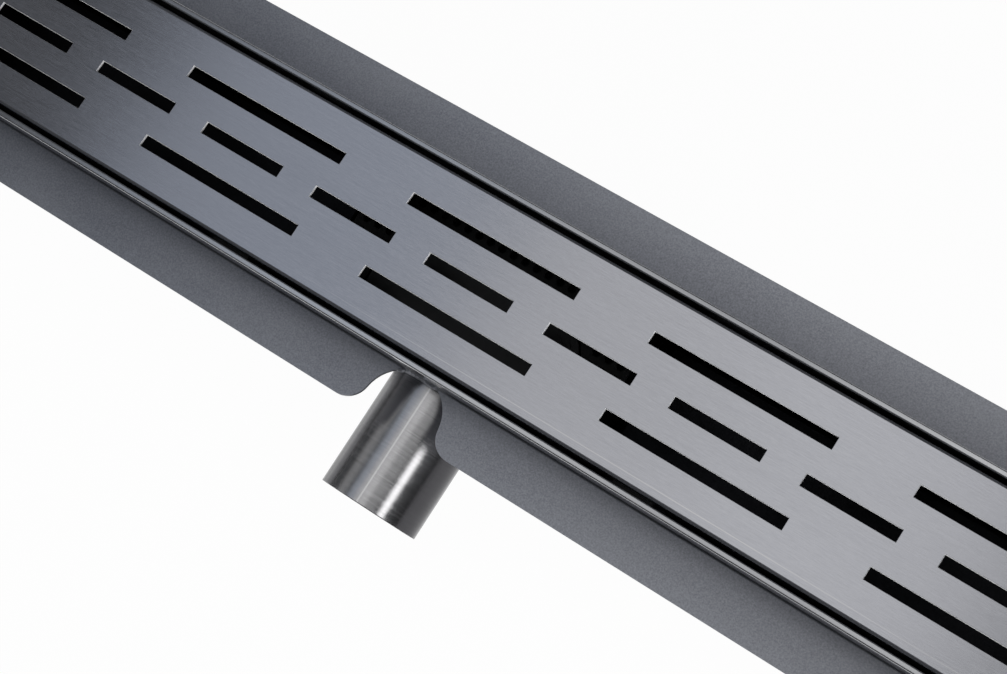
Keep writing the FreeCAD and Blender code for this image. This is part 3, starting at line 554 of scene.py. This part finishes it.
BLACK, LIT_BLACK = (0.0018, 0.0018, 0.002), (0.004, 0.004, 0.0045)
GREY, LIT_GREY = (0.018, 0.019, 0.020), (0.028, 0.029, 0.031)
RUBBER, LIT_RUBBER = (0.010, 0.010, 0.010), (0.020, 0.020, 0.020)
finishes = {
    "cover_steel": make_cover_steel(),
    "steel": make_body_steel(),
    "pipe_steel": make_pipe_steel(),
    "zinc_steel": make_zinc_steel(),
    "black_plastic": make_moulded("black_moulding", BLACK, LIT_BLACK, 0.50, 0.64, 0.0001),
    "grey_plastic": make_moulded("grey_moulding", GREY, LIT_GREY, 0.38, 0.50, 0.00005),
    "black_rubber": make_moulded("black_rubber", RUBBER, LIT_RUBBER, 0.60, 0.80, 0.0001),
}
print("finishes", {slot: material.name for slot, material in finishes.items()})

# %% [markdown]
# The record says which slot each solid has.  The solids come with plain materials, one to a holder, and
# each holder gets the finish of that slot.

# %% each solid gets the finish of its slot
slot_of = {part["node"]: part["material_slot"] for part in frame["record"]["subparts"]}
for node_name, solid in frame["nodes"].items():
    for holder in solid.material_slots:
        holder.material = finishes[slot_of[node_name]]
print("finishes on", len(slot_of), "nodes:", sorted(set(slot_of.values())))


# %% [markdown]
# ## Surfaces made with numpy
# Every new form is a grid: one parameter runs round or along, the other across.  The points come as whole
# arrays and the quads are counted out the same way, then both go into the mesh in one step.


# %% from a grid of points to a piece
def grid_quads(rows, columns, close_rows, close_columns, start=0):
    """Quads between neighbouring rows and columns, with either direction closed on itself."""
    row = np.arange(rows if close_rows else rows - 1)
    column = np.arange(columns if close_columns else columns - 1)
    r, c = np.meshgrid(row, column, indexing="ij")
    r2 = (r + 1) % rows
    c2 = (c + 1) % columns
    quads = np.stack([r * columns + c, r * columns + c2, r2 * columns + c2, r2 * columns + c], axis=-1)
    return quads.reshape(-1, 4) + start


def make_piece(name, points, quads, slot, body, caps=(), smooth=True):
    """Mesh object from arrays of points and quads, plus larger faces for flat ends, all turned outwards."""
    mesh = bpy.data.meshes.new(name)
    faces = [tuple(q) for q in quads.tolist()] + [tuple(int(i) for i in cap) for cap in caps]
    mesh.from_pydata(points.reshape(-1, 3).tolist(), [], faces)
    build = bmesh.new()
    build.from_mesh(mesh)
    bmesh.ops.recalc_face_normals(build, faces=build.faces)
    build.to_mesh(mesh)
    build.free()
    mesh.polygons.foreach_set("use_smooth", np.full(len(mesh.polygons), smooth))
    mesh.update()
    piece = bpy.data.objects.new(name, mesh)
    mesh.materials.append(finishes[slot])
    bpy.context.scene.collection.objects.link(piece)
    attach(piece, body)
    return piece


# %% [markdown]
# ## The cover
# The real cover is one sheet: the slots are cut out by laser, then the four edges are folded down.  It
# could be a copy of the solid with a Bevel, but a bevel is held back by the shortest edge of the mesh.
# So it is made of surfaces: two flat grids with cells left out, a profile carried round every slot, and
# one carried round the outside.  Where the slots lie is asked of the solid's own top face.


# %% where the slots are
def between(lines):
    """Middle of each step from one line to the next."""
    return (lines[1:] + lines[:-1]) / 2.0


def slot_rectangles():
    """Lines through the top face's corners make cells; a cell whose middle no triangle covers is open.

    A middle is inside a triangle when it lies on the same side of its three edges.  Open cells that touch in
    one row are one slot.  Gives the half length and half width of the flat top, and one row per slot.
    """
    mesh = frame["nodes"]["cover_grate"].data
    points = np.empty(len(mesh.vertices) * 3)
    mesh.vertices.foreach_get("co", points)
    corners = np.empty(len(mesh.loops), dtype=int)
    mesh.loops.foreach_get("vertex_index", corners)
    triangles = points.reshape(-1, 3)[corners.reshape(-1, 3)]
    top = triangles[(triangles[:, :, 2] > TOP_Z - 1e-6).all(axis=1)][:, :, :2]
    x_lines = np.unique(np.round(top[:, :, 0], 6))
    y_lines = np.unique(np.round(top[:, :, 1], 6))
    middles = np.stack(np.meshgrid(between(x_lines), between(y_lines)), axis=-1)
    edge = np.roll(top, -1, axis=1) - top
    reach = middles[:, :, None, None, :] - top
    side = edge[..., 0] * reach[..., 1] - edge[..., 1] * reach[..., 0]
    covered = ((side > 0.0).all(axis=-1) | (side < 0.0).all(axis=-1)).any(axis=-1)
    change = np.diff(np.pad(~covered, ((0, 0), (1, 1))).astype(int), axis=1)
    row, first = np.nonzero(change == 1)
    last = np.nonzero(change == -1)[1]
    slots = np.stack([x_lines[first], x_lines[last], y_lines[row], y_lines[row + 1]], axis=-1)
    return x_lines[-1], y_lines[-1], slots


FLAT_X, FLAT_Y, slots = slot_rectangles()
print("slots", len(slots), "flat top", round(FLAT_X, 4), "x", round(FLAT_Y, 4))

# %% [markdown]
# A loop round a rectangle is moved outwards by the profile's first number and to its height.  Points on a
# side move straight out and the corner points move both ways, which mitres the corners by itself.


# %% the sheet with its slots and folded edges
SLOT_EASE = 0.00016             # rounding of the slots' edges
SAME = 1e-7                     # lines nearer than this are one line


def side_of(values, low, high):
    """-1 on the low side, +1 on the high side, 0 between them."""
    return np.isclose(values, high, atol=SAME).astype(float) - np.isclose(values, low, atol=SAME)


def carried_round(rectangle, lines, profile):
    """Strip of quads: the rectangle's outline, with a point on every line, carried through the profile.

    Each outline point plus profile offset times its outward direction, at the profile's height.
    """
    x0, x1, y0, y1 = rectangle
    x = lines[0][(lines[0] > x0 - SAME) & (lines[0] < x1 + SAME)]
    y = lines[1][(lines[1] > y0 - SAME) & (lines[1] < y1 + SAME)]
    loop_x = np.concatenate([x[:-1], np.full(len(y) - 1, x[-1]), x[:0:-1], np.full(len(y) - 1, x[0])])
    loop_y = np.concatenate([np.full(len(x) - 1, y[0]), y[:-1], np.full(len(x) - 1, y[-1]), y[:0:-1]])
    offset, height = profile[:, 0, None], profile[:, 1, None]
    strip_x = loop_x + offset * side_of(loop_x, x0, x1)
    strip_y = loop_y + offset * side_of(loop_y, y0, y1)
    strip = np.stack(np.broadcast_arrays(strip_x, strip_y, height), axis=-1)
    return strip.reshape(-1, 3), grid_quads(len(profile), len(loop_x), False, True)


def flat_with_openings(lines, openings, height):
    """Grid of the lines at one height, without the cells whose middle lies in an opening."""
    x, y = lines
    grid = np.stack(np.broadcast_arrays(*np.meshgrid(x, y, indexing="ij"), height), axis=-1)
    middle_x, middle_y = np.meshgrid(between(x), between(y), indexing="ij")
    x0, x1, y0, y1 = openings.T[:, :, None, None]
    shut = ~((middle_x > x0) & (middle_x < x1) & (middle_y > y0) & (middle_y < y1)).any(axis=0)
    return grid.reshape(-1, 3), grid_quads(len(x), len(y), False, False)[shut.reshape(-1)]


def make_cover():
    """Two flat grids, a strip through every slot and one round the folded edge, merged to one sheet."""
    openings = slots + np.array([-SLOT_EASE, SLOT_EASE, -SLOT_EASE, SLOT_EASE])
    lines = (
        np.unique(np.round(np.append(openings[:, :2], [-FLAT_X, FLAT_X]), 7)),
        np.unique(np.round(np.append(openings[:, 2:], [-FLAT_Y, FLAT_Y]), 7)),
    )
    turn = np.linspace(0.0, np.pi / 2.0, 5)
    top_ease = np.stack([-SLOT_EASE * np.sin(turn), TOP_Z - SLOT_EASE * (1.0 - np.cos(turn))], axis=-1)
    low_ease = np.stack([top_ease[::-1, 0], 2.0 * TOP_Z - SHEET - top_ease[::-1, 1]], axis=-1)
    through = np.concatenate([top_ease, low_ease])
    fold = cover_high.y - FLAT_Y
    bend = np.linspace(0.0, np.pi / 2.0, 11)
    outer = np.stack([fold * np.sin(bend), TOP_Z - fold + fold * np.cos(bend)], axis=-1)
    inner_fold = fold - SHEET
    inner = np.stack([inner_fold * np.sin(bend), TOP_Z - fold + inner_fold * np.cos(bend)], axis=-1)[::-1]
    lip = np.array([[fold, cover_low.z], [inner_fold, cover_low.z]])
    parts = [
        flat_with_openings(lines, openings, TOP_Z),
        flat_with_openings(lines, openings, TOP_Z - SHEET),
        carried_round((-FLAT_X, FLAT_X, -FLAT_Y, FLAT_Y), lines, np.concatenate([outer, lip, inner])),
    ]
    parts += [carried_round(opening, lines, through) for opening in openings]
    starts = np.cumsum([0] + [len(part[0]) for part in parts[:-1]])
    points = np.concatenate([part[0] for part in parts])
    quads = np.concatenate([part[1] + start for part, start in zip(parts, starts)])
    piece = make_piece("slotted_cover", points, quads, "cover_steel", "drain", smooth=False)
    build = bmesh.new()
    build.from_mesh(piece.data)
    bmesh.ops.remove_doubles(build, verts=build.verts, dist=1e-6)
    bmesh.ops.delete(build, geom=[v for v in build.verts if not v.link_faces], context="VERTS")
    bmesh.ops.recalc_face_normals(build, faces=build.faces)
    print("open edges", sum(len(edge.link_faces) != 2 for edge in build.edges))
    build.to_mesh(piece.data)
    build.free()
    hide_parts("cover_grate")
    return piece


cover = make_cover()
print("cover faces", len(cover.data.polygons))

# %% [markdown]
# ## The pressed rim
# After the hem is closed, its top is pressed, so that the cover and the tiles meet a flat edge.  The
# solids have a plain half-round there.  A thin crown with a flatter curve is carried round the rim, over
# the half-round, by the same strip that folded the cover's edges.

# %% crown of the rim
CROWN_POWER = 3.4               # 2 would be a half-round, more is flatter
CROWN_RISE = 0.00003            # over the solid's half-round


def make_rim_crown():
    """Loop round the hem's middle line; |offset / half|^p + |height / half|^p = 1 above, flat below."""
    half = RIM_THICKNESS / 2.0 + CROWN_RISE
    turn = np.linspace(0.0, np.pi, 25)
    offset = half * np.sign(np.cos(turn)) * np.abs(np.cos(turn)) ** (2.0 / CROWN_POWER)
    height = TOP_Z + CROWN_RISE - half + half * np.sin(turn) ** (2.0 / CROWN_POWER)
    profile = np.stack([offset, height], axis=-1)
    middle_x = cover_high.x + RIM_GAP + RIM_THICKNESS / 2.0
    middle_y = cover_high.y + RIM_GAP + RIM_THICKNESS / 2.0
    lines = (np.array([-middle_x, middle_x]), np.array([-middle_y, middle_y]))
    points, quads = carried_round((-middle_x, middle_x, -middle_y, middle_y), lines, profile)
    loops = points.reshape(len(profile), -1, 3)
    closed = grid_quads(loops.shape[0], loops.shape[1], True, True)
    return make_piece("rim_crown", loops, closed, "steel", "drain", smooth=False)


rim_crown = make_rim_crown()
print("rim crown faces", len(rim_crown.data.polygons))

# %% [markdown]
# ## The weld round the pipe
# The pipe is welded into the sump's wall by hand: a fillet that rises and falls in small overlapping
# scales. The profile is an arc that bulges between the pipe and the wall; carried round the pipe, its
# height is lifted by a skewed wave, so that the scales lean the way the torch moved.

# %% rippled fillet weld
WELD_SCALES = 64                # all round the pipe
WELD_CROWN = 0.0004
WELD_RIPPLE = 0.00022
WELD_WANDER = 0.00008           # the slow change of a hand that moves round
WELD_LAP = 0.0004               # the bead runs on this far past the solid's fillet
WELD_ROOT = 0.0001              # its root lies this deep in the pipe


def make_pipe_weld():
    """Ring whose radius and place along the pipe both grow with s over one leg of the fillet.

    It is lifted, half outwards and half along, by sin(pi s) times (crown + ripple + wander).
    """
    around = np.linspace(0.0, 2.0 * np.pi, 768, endpoint=False)
    across = np.linspace(0.0, 1.0, 11)
    a, s = np.meshgrid(around, across, indexing="ij")
    phase = WELD_SCALES * a + 2.4 * np.sin(np.pi * s) + 0.9 * np.sin(5.0 * a)
    scale = (0.5 + 0.5 * np.sin(phase)) ** 2
    lift = np.sin(np.pi * s) * (WELD_CROWN + WELD_RIPPLE * scale + WELD_WANDER * np.sin(3.0 * a))
    radius = PIPE_RADIUS - WELD_ROOT + s * (WELD_LEG + WELD_LAP) + lift * math.sqrt(0.5)
    y = WELD_START_Y - WELD_LAP + s * (WELD_LEG + WELD_LAP + WELD_ROOT) - lift * math.sqrt(0.5)
    top = np.stack([radius * np.sin(a), y, PIPE_Z + radius * np.cos(a)], axis=-1)
    inner_r = np.full(around.shape, PIPE_RADIUS - 2.0 * WELD_ROOT)
    inner_y = np.full(around.shape, WELD_START_Y + WELD_LEG + WELD_ROOT)
    root = np.stack([inner_r * np.sin(around), inner_y, PIPE_Z + inner_r * np.cos(around)], axis=-1)
    ring = np.concatenate([top, root[:, None, :]], axis=1)
    quads = grid_quads(len(around), ring.shape[1], True, True)[:, ::-1]
    return make_piece("pipe_weld", ring, quads, "steel", "drain")


pipe_weld = make_pipe_weld()
print("pipe weld faces", len(pipe_weld.data.polygons))

# %% [markdown]
# ## Seams of the sump
# The sump is a deep folded box welded under the trough: one straight seam along each long wall, and one
# round each end plate.  A bead is a small half-round profile carried along the seam's path; every ring of
# it is pushed outwards by a wave along the path, which gives the overlapping scales of a torch weld.

# %% beads along a path
BEAD_WIDTH = 0.0030
BEAD_CROWN = 0.0008
BEAD_PITCH = 0.0016             # from one scale to the next
RINGS_PER_PITCH = 6
BEAD_SIDES = 12
BEAD_SUNK = 0.4                 # share of the arch that lies under the sheet


def make_bead(name, corners, out, width=BEAD_WIDTH, crown=BEAD_CROWN):
    """Path point + across * (w/2 cos a) + out * (crown sin a, with ripple), shallow below the sheet.

    The path is resampled at an even step; the ripple leans forward in its middle, as the scales do.
    """
    corners, out = np.array(corners), np.array(out)
    legs = np.linalg.norm(np.diff(corners, axis=0), axis=1)
    run = np.concatenate([[0.0], np.cumsum(legs)])
    t = np.linspace(0.0, run[-1], int(run[-1] / BEAD_PITCH * RINGS_PER_PITCH) + 2)
    line = np.stack([np.interp(t, run, corners[:, k]) for k in range(3)], axis=-1)
    outward = np.stack([np.interp(t, run, out[:, k]) for k in range(3)], axis=-1)
    outward /= np.linalg.norm(outward, axis=1, keepdims=True)
    along = np.gradient(line, axis=0)
    along /= np.linalg.norm(along, axis=1, keepdims=True)
    across = np.cross(outward, along)
    a = np.linspace(0.0, 2.0 * np.pi, BEAD_SIDES, endpoint=False)
    arch = np.sin(a)[None, :]
    phase = 2.0 * np.pi * t[:, None] / BEAD_PITCH + 2.2 * np.maximum(arch, 0.0)
    wander = 1.0 + 0.10 * np.sin(t[:, None] * 410.0) + 0.06 * np.sin(t[:, None] * 1130.0)
    ease = np.sqrt(np.clip(np.minimum(t, run[-1] - t) / width, 0.04, 1.0))[:, None]
    side = width / 2.0 * np.cos(a)[None, :] * ease * wander
    rippled = arch * (1.0 + 0.28 * np.sin(phase)) * wander
    lift = crown * ease * np.where(arch > 0.0, rippled, BEAD_SUNK * arch)
    ring = line[:, None, :] + across[:, None, :] * side[..., None] + outward[:, None, :] * lift[..., None]
    count = len(t) * BEAD_SIDES
    caps = (range(BEAD_SIDES - 1, -1, -1), range(count - BEAD_SIDES, count))
    return make_piece(name, ring, grid_quads(len(t), BEAD_SIDES, False, True), "steel", "drain", caps)


# %% [markdown]
# The path of the straight seams has two points.  The one round an end plate goes down, across and up
# again, and follows the rounded folds of the sump.  Its outward direction turns with it: always half out
# of the plate and half out of the wall.

# %% beads of the sump
END_BEAD_WIDTH = 0.0022
SUMP_FOLD = 0.0030              # outer radius of the sump's folds
sump_low, sump_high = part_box("sump_box")


def make_sump_seams():
    """Two straight beads under the flange, and one U-shaped bead round each end plate."""
    beads = []
    for side, label in ((-1.0, "near"), (1.0, "far")):
        y = side * sump_high.y
        ends = [(sump_low.x, y, sump_high.z), (sump_high.x, y, sump_high.z)]
        beads.append(make_bead("sump_seam_" + label, ends, [(0.0, side, 0.0)] * 2))
    turn = np.linspace(0.0, np.pi / 2.0, 5)
    bend_y = sump_high.y - SUMP_FOLD + SUMP_FOLD * np.cos(turn)
    bend_z = sump_low.z + SUMP_FOLD - SUMP_FOLD * np.sin(turn)
    half_y = np.concatenate([[sump_high.y], bend_y])
    half_z = np.concatenate([[sump_high.z - 0.004], bend_z])
    out_y = np.concatenate([[1.0], np.cos(turn)])
    out_z = np.concatenate([[0.0], -np.sin(turn)])
    path_y, out_y = (np.concatenate([half, -half[::-1]]) for half in (half_y, out_y))
    path_z, out_z = (np.concatenate([half, half[::-1]]) for half in (half_z, out_z))
    for side, label in ((-1.0, "left"), (1.0, "right")):
        path_x = np.full(len(path_y), side * (sump_high.x - 0.0001))
        path = np.stack([path_x, path_y, path_z], axis=-1)
        out = np.stack([np.full(len(path_y), side), out_y, out_z], axis=-1)
        beads.append(make_bead("end_plate_seam_" + label, path, out, width=END_BEAD_WIDTH))
    return beads


sump_seams = make_sump_seams()
print("sump seams", [bead.name for bead in sump_seams])

# %% [markdown]
# Two short tacks sit in the bay of the flange, where the pipe was held before it was welded.

# %% tacks in the bay
TACK_LEFT = ((-0.0125, -0.0474), (-0.0080, -0.0458))
TACK_RIGHT = ((0.0010, -0.0452), (0.0088, -0.0456))
TACK_CROWN = 0.0010
TACK_SINK = 0.0006              # from the top of the flange down to the tack's middle
for tack_name, tack in (("bay_tack_left", TACK_LEFT), ("bay_tack_right", TACK_RIGHT)):
    tack_path = [(x, y, FLANGE_Z - TACK_SINK) for x, y in tack]
    make_bead(tack_name, tack_path, [(0.0, -0.7, 0.7)] * 2, END_BEAD_WIDTH, TACK_CROWN)
print("tacks at z", round(FLANGE_Z - TACK_SINK, 4))

# %% [markdown]
# ## Screw feet
# The rods are ordinary M8 threaded bar, 1.25 mm a turn.  A thread is a radius that depends on height and
# angle together: going once round moves the same triangle wave one pitch up.  The part of the rod that is
# pushed into the pad is plain, and both ends are chamfered.

# %% threaded rods
THREAD_PITCH = 0.00125
THREAD_DEPTH = 0.00065
ROD_CHAMFER = 0.0008
ROD_IN_PAD = 0.0073             # plain length, pushed into the pad
THREAD_RUN_OUT = 0.0008
ROWS_PER_TURN = 8
ROD_SIDES = 32


def make_threaded_rod(node_name, body):
    """Radius = r - depth * trapezoid wave of (z / pitch - angle / full turn), cut by the end chamfers."""
    low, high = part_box(node_name)
    middle = (low + high) / 2.0
    radius = (high.x - low.x) / 2.0
    height = high.z - low.z
    rows = int(height / THREAD_PITCH * ROWS_PER_TURN)
    around = np.linspace(0.0, 2.0 * np.pi, ROD_SIDES, endpoint=False)
    z, a = np.meshgrid(np.linspace(0.0, height, rows), around, indexing="ij")
    wave = np.abs(((z / THREAD_PITCH - a / (2.0 * np.pi)) % 1.0) * 2.0 - 1.0)
    cut = THREAD_DEPTH * np.clip(wave * 1.35 - 0.17, 0.0, 1.0)
    cut *= np.clip((z - ROD_IN_PAD) / THREAD_RUN_OUT, 0.0, 1.0)
    chamfer = radius - ROD_CHAMFER + np.minimum(z, height - z)
    r = np.minimum(radius - cut, chamfer)
    points = np.stack([middle.x + r * np.cos(a), middle.y + r * np.sin(a), low.z + z], axis=-1)
    count = rows * ROD_SIDES
    caps = (range(ROD_SIDES - 1, -1, -1), range(count - ROD_SIDES, count))
    quads = grid_quads(rows, ROD_SIDES, False, True)
    piece = make_piece("threaded_" + node_name, points, quads, "zinc_steel", body, caps)
    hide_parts(node_name)
    return piece


bodies = frame["record"]["behaviour"]["bodies"]
rods = [
    make_threaded_rod(node, body) for body, nodes in bodies.items() for node in nodes if "foot_rod" in node
]
print("threaded rods", len(rods), "faces each", len(rods[0].data.polygons))

# %% [markdown]
# A hexagon nut is turned on both faces, so a cone cuts its six corners and leaves the curved arcs that
# everyone knows.  In numbers: at each angle the radius is the hexagon's or the cone's, whichever is
# smaller.

# %% chamfered nuts
NUT_HEIGHT = 0.0065
NUT_HALF_FLATS = 0.0065
NUT_CONE = 1.73                 # cone's run for each step down from the face
NUT_FACE = 0.96                 # radius where the cone meets the face, in half widths
NUT_ARC = 0.0009                # depth that the cone's arcs take up
NUT_SIDES = 72
BORE_CHAMFER = 0.0005
BORE_CHAMFER_DEPTH = 0.0006
BORE_GAP = 0.00005              # running gap on the rod
nuts_low, nuts_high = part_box("lock_nuts")


def nut_surface(x, y, z, bore):
    """Ring closed both ways: up the outside, in over the top, down the bore and out below."""
    a = np.linspace(0.0, 2.0 * np.pi, NUT_SIDES, endpoint=False)
    hexagon = NUT_HALF_FLATS / np.cos((a + np.pi / 6.0) % (np.pi / 3.0) - np.pi / 6.0)
    arcs = np.linspace(0.0, NUT_ARC, 6)
    rise = np.concatenate([arcs, np.linspace(0.0015, NUT_HEIGHT - 0.0015, 4), NUT_HEIGHT - arcs[::-1]])
    cone = NUT_HALF_FLATS * NUT_FACE + np.minimum(rise, NUT_HEIGHT - rise) * NUT_CONE
    outside = np.minimum(hexagon[None, :], cone[:, None])
    bore_rise = np.array([NUT_HEIGHT, NUT_HEIGHT - BORE_CHAMFER_DEPTH, BORE_CHAMFER_DEPTH, 0.0])
    bore_radius = bore + np.array([BORE_CHAMFER, 0.0, 0.0, BORE_CHAMFER])
    inside = np.broadcast_to(bore_radius[:, None], (4, len(a)))
    radius = np.concatenate([outside, inside])
    level = np.concatenate([rise, bore_rise])[:, None]
    return np.stack(np.broadcast_arrays(x + radius * np.cos(a), y + radius * np.sin(a), z + level), axis=-1)


def make_nuts():
    """Two nuts on each rod, all in one mesh, as the node has them."""
    surfaces = []
    for rod in rods:
        co = np.empty(len(rod.data.vertices) * 3)
        rod.data.vertices.foreach_get("co", co)
        co = co.reshape(-1, 3)
        x, y = (co.min(axis=0) + co.max(axis=0))[:2] / 2.0
        bore = (co[:, 0].max() - co[:, 0].min()) / 2.0 + BORE_GAP
        surfaces += [nut_surface(x, y, z, bore) for z in (nuts_low.z, nuts_high.z - NUT_HEIGHT)]
    rows, columns = surfaces[0].shape[:2]
    quads = np.concatenate([
        grid_quads(rows, columns, True, True, start=k * rows * columns) for k in range(len(surfaces))
    ])
    piece = make_piece("chamfered_nuts", np.stack(surfaces), quads, "zinc_steel", "drain", smooth=False)
    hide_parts("lock_nuts")
    return piece


nuts = make_nuts()
print("nut faces", len(nuts.data.polygons))

# %% [markdown]
# ## Floor
# A plain white floor lies at the lowest place that the feet can reach, so that no pad sinks into it.
# Seen by the camera, and mirrored in the metal, it is mostly a plain white of strength 1.  The rest is a
# diffuse white that takes the light, so that the drain's soft shadow stays.

# %% floor
FLOOR_SIZE = 12.0
FLOOR_GAP = 0.0003              # under the pads, which would flicker in the floor's own plane
FLOOR_WHITE = 0.97              # share of plain white


def make_floor():
    """Flat white square just under the foot pads when they are screwed all the way down."""
    half = FLOOR_SIZE / 2.0
    mesh = bpy.data.meshes.new("floor")
    corners = [(-half, -half, 0.0), (half, -half, 0.0), (half, half, 0.0), (-half, half, 0.0)]
    mesh.from_pydata(corners, [], [(0, 1, 2, 3)])
    floor = bpy.data.objects.new("floor", mesh)
    reach = max(joint["range_m"][1] for joint in frame["joints"])
    floor.location.z = -reach - FLOOR_GAP
    bpy.context.scene.collection.objects.link(floor)
    material = bpy.data.materials.new("white_floor")
    material.use_nodes = True
    tree = material.node_tree
    tree.nodes.clear()
    lit = add_node(tree, "ShaderNodeBsdfDiffuse", Color=(0.95, 0.95, 0.95, 1.0))
    plain = add_node(tree, "ShaderNodeEmission", Color=(1.0, 1.0, 1.0, 1.0), Strength=1.0)
    rays = tree.nodes.new("ShaderNodeLightPath").outputs
    seen = math_node(tree, "MAXIMUM", rays["Is Camera Ray"], rays["Is Glossy Ray"])
    seen = math_node(tree, "MAXIMUM", seen, rays["Is Transmission Ray"])
    mix = add_node(tree, "ShaderNodeMixShader", i0=math_node(tree, "MULTIPLY", seen, FLOOR_WHITE))
    tree.links.new(lit.outputs[0], mix.inputs[1])
    tree.links.new(plain.outputs[0], mix.inputs[2])
    output = tree.nodes.new("ShaderNodeOutputMaterial")
    tree.links.new(mix.outputs[0], output.inputs[0])
    mesh.materials.append(material)
    return floor


floor = make_floor()
print("floor at", round(floor.location.z, 4))
